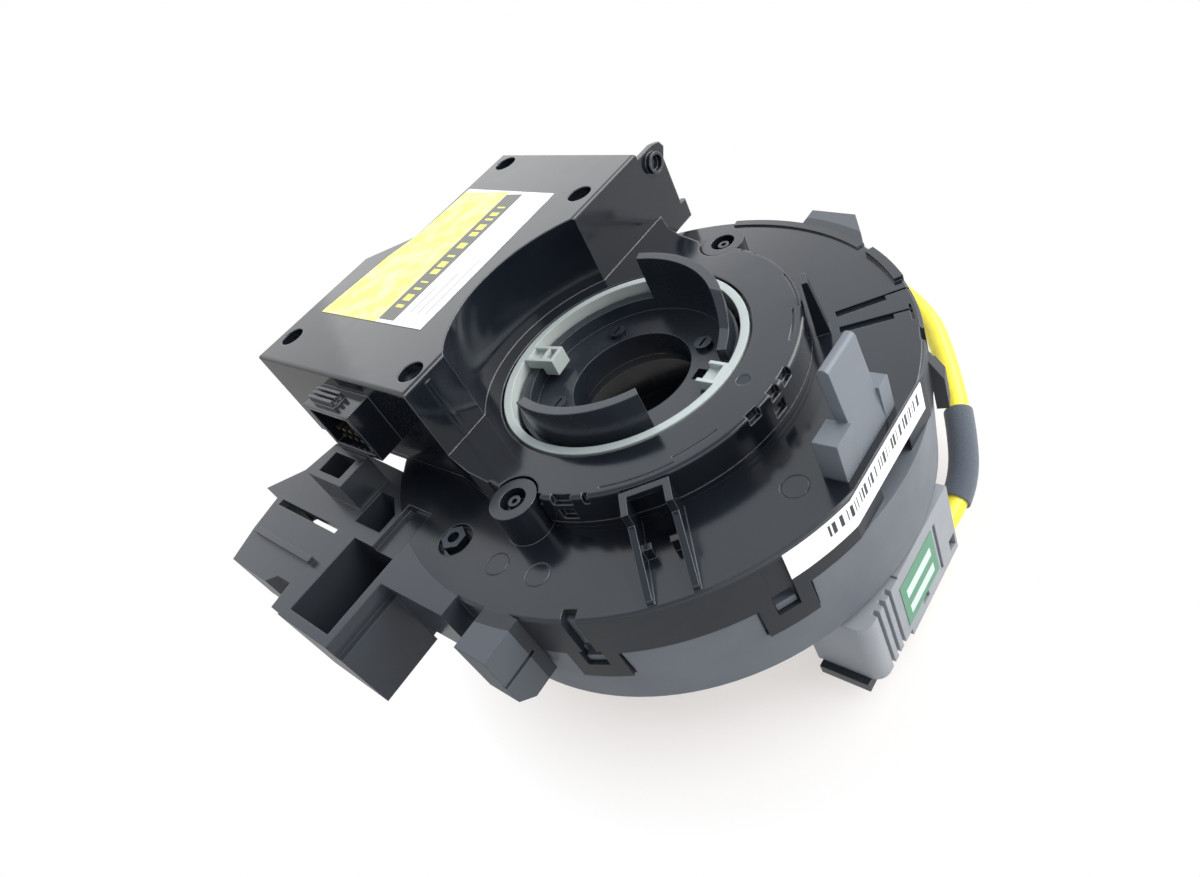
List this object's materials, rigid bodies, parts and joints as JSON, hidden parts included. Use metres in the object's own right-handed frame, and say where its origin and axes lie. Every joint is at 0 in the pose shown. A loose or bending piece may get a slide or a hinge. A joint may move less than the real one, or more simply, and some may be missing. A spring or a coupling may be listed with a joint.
{
  "type": "steering clock spring",
  "caption": "Round steering clock spring with a steering angle sensor box, harness sockets and a yellow inflator lead.",
  "frame": {"origin": "on the steering axis, level with the top face of the stator cover, in the span of the hub ledge bore", "axes": "+Z along the steering axis to the steering column, +Y to the sensor box, -X to the harness socket"},
  "size_m": [0.1637, 0.1416, 0.0781],
  "materials": {
    "gloss_black": "glossy moulded",
    "satin_black": "satin moulded",
    "dark_grey": "fine texture",
    "natural_white": "smooth natural polymer",
    "connector_grey": "satin moulded",
    "board_green": "solder mask",
    "chip_black": "moulded",
    "terminal_tin": "tinned",
    "steel_screw": "dark plated",
    "magnet_dark": "sintered",
    "cable_film": "laminated film",
    "slip_film": "smooth film",
    "lead_yellow": "smooth jacket",
    "foam_dark": "felt tape",
    "label_white": "matte print",
    "label_yellow": "matte print",
    "label_green": "matte print"
  },
  "bodies": {
    "stator": {"stator_cover": "satin_black", "stator_housing": "dark_grey", "nut_insert": "steel_screw", "switch_pins": "terminal_tin", "slip_sheet": "slip_film", "ribbon_cable": "cable_film", "sensor_base": "gloss_black", "sensor_cover": "gloss_black", "sensor_board": "board_green", "sensor_pins": "terminal_tin", "hall_chips": "chip_black", "cover_screws": "steel_screw", "side_label": "label_white", "sensor_label": "label_yellow"},
    "gear_one": {"measuring_gear_one": "natural_white", "magnet_one": "magnet_dark"},
    "gear_two": {"measuring_gear_two": "natural_white", "magnet_two": "magnet_dark"},
    "rotor": {"rotor_disc": "satin_black", "rotor_hub": "satin_black", "sensor_ring": "natural_white", "hub_screws": "steel_screw", "front_connector": "connector_grey", "connector_insert": "satin_black", "airbag_lead": "lead_yellow", "foam_sleeve": "foam_dark", "lead_plug": "lead_yellow", "tower_label": "label_green"}
  },
  "joints": [
    {"name": "rotor_spin", "type": "hinge", "parent": "stator", "child": "rotor", "pos_m": [0, 0, 0], "axis": [0, 0, 1], "range_deg": [-900, 900]},
    {"name": "gear_one_spin", "type": "hinge", "parent": "stator", "child": "gear_one", "pos_m": [0.01035, 0.03864, 0.003], "axis": [0, 0, 1], "range_deg": [-2750, 2750]},
    {"name": "gear_two_spin", "type": "hinge", "parent": "stator", "child": "gear_two", "pos_m": [-0.01398, 0.03641, 0.003], "axis": [0, 0, 1], "range_deg": [-3050, 3050]}
  ],
  "couplings": [
    {"joint": "gear_one_spin", "follows": "rotor_spin", "ratio": -3},
    {"joint": "gear_two_spin", "follows": "rotor_spin", "ratio": -3.3333}
  ]
}
